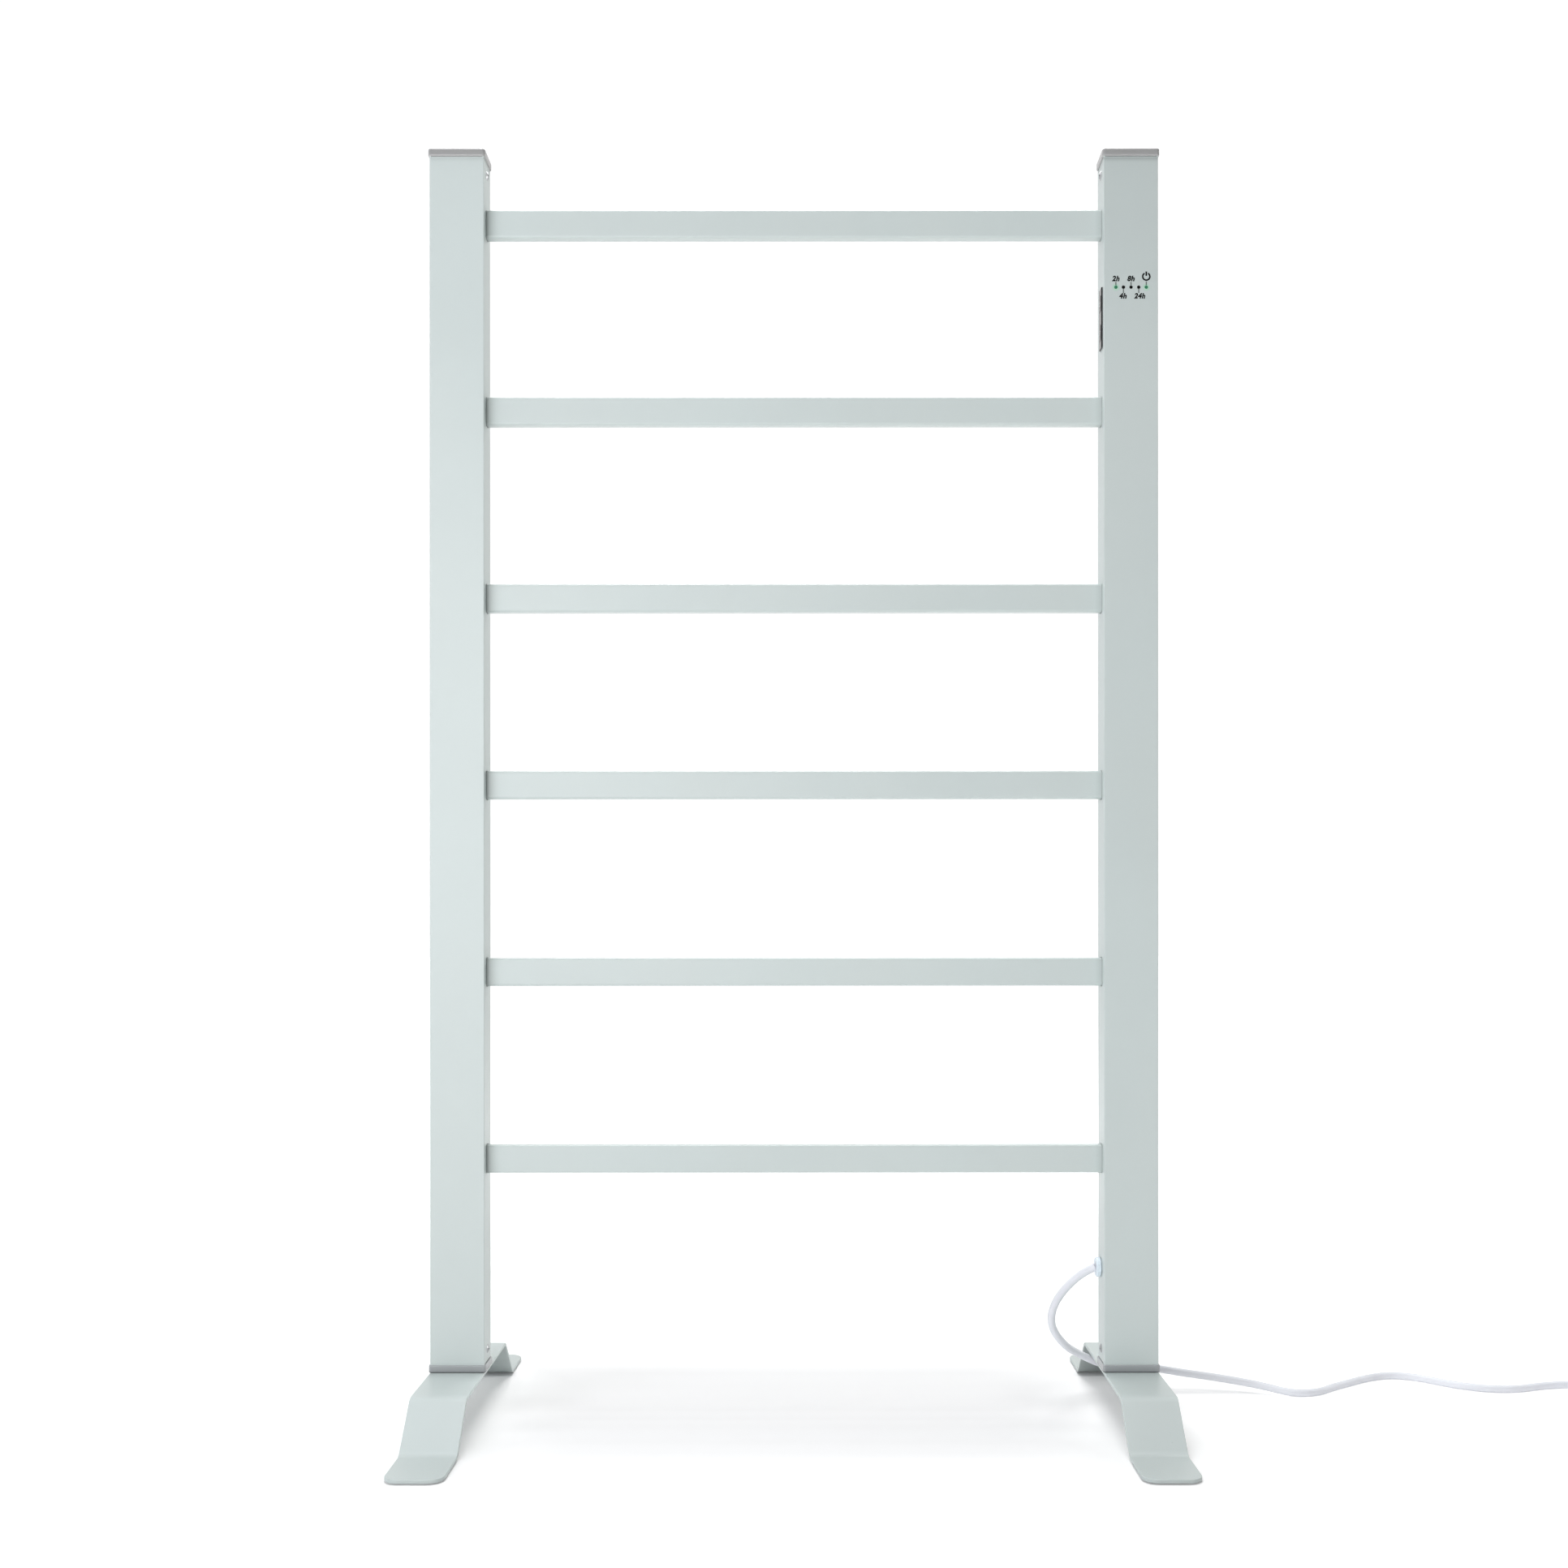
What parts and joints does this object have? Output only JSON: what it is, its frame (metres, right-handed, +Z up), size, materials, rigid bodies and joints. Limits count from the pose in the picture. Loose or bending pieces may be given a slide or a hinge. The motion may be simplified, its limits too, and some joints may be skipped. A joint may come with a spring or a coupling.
{
  "type": "towel warmer rack",
  "caption": "Free-standing heated towel rack: two capped rectangular posts on arched sheet-metal feet, joined by flat heated bars, with a push-button panel and a mains cord.",
  "frame": {"origin": "middle of the footprint, on the floor", "axes": "+X along the bars to the post with the controls, +Y to the rear, +Z up"},
  "size_m": [0.956, 0.31, 0.924],
  "materials": {
    "sage_paint": "satin powder coat, pale sage grey",
    "cap_plastic": "satin moulded, warm grey",
    "white_plastic": "matt heat-resistant nylon",
    "steel": "zinc plated",
    "screw_steel": "nickel plated",
    "silicone": "matt silicone insulation",
    "pad_rubber": "matt foam rubber",
    "panel_gloss": "high gloss black",
    "button_gloss": "gloss black",
    "circuit_board": "solder mask",
    "black_plastic": "matt",
    "lamp_green": "clear green light guide",
    "lamp_black": "dark light guide",
    "grommet_plastic": "smooth nylon, pale blue white",
    "cord_pvc": "smooth satin PVC, white",
    "tie_fabric": "woven hook-and-loop tape",
    "plug_pvc": "moulded satin PVC, white",
    "brass_pins": "bare brass"
  },
  "bodies": {
    "frame": {"left_post": "sage_paint", "right_post": "sage_paint", "bar_1": "sage_paint", "bar_2": "sage_paint", "bar_3": "sage_paint", "bar_4": "sage_paint", "bar_5": "sage_paint", "bar_6": "sage_paint", "left_foot": "sage_paint", "right_foot": "sage_paint", "left_top_cap": "cap_plastic", "right_top_cap": "cap_plastic", "left_bottom_cap": "cap_plastic", "right_bottom_cap": "cap_plastic", "left_bar_holders": "black_plastic", "right_bar_holders": "black_plastic", "bar_pins": "steel", "heating_cable": "silicone", "nut_plates": "steel", "cap_screws": "screw_steel", "foot_bolts": "screw_steel", "foot_pads": "pad_rubber", "control_bezel": "panel_gloss", "control_board": "circuit_board", "button_switches": "black_plastic", "board_relay": "black_plastic", "lamp_board": "circuit_board", "lit_lamps": "lamp_green", "unlit_lamps": "lamp_black", "terminal_block": "white_plastic", "thermal_fuse": "steel", "earth_screw": "screw_steel", "cord_grommet": "grommet_plastic", "cord_inner_end": "cord_pvc", "supply_lead": "silicone", "power_cord": "cord_pvc", "cord_coil": "cord_pvc", "cord_tail": "cord_pvc", "coil_tie": "tie_fabric", "plug_body": "plug_pvc", "plug_pins": "brass_pins"},
    "power_button": {"power_button": "button_gloss"},
    "timer_button": {"timer_button": "button_gloss"}
  },
  "joints": [
    {"name": "power_press", "type": "slide", "parent": "frame", "child": "power_button", "axis": [1, 0, 0], "range_m": [0, 0.0008], "stiffness_N_per_m": 600, "springref_m": -0.0004},
    {"name": "timer_press", "type": "slide", "parent": "frame", "child": "timer_button", "axis": [1, 0, 0], "range_m": [0, 0.0008], "stiffness_N_per_m": 600, "springref_m": -0.0004}
  ]
}
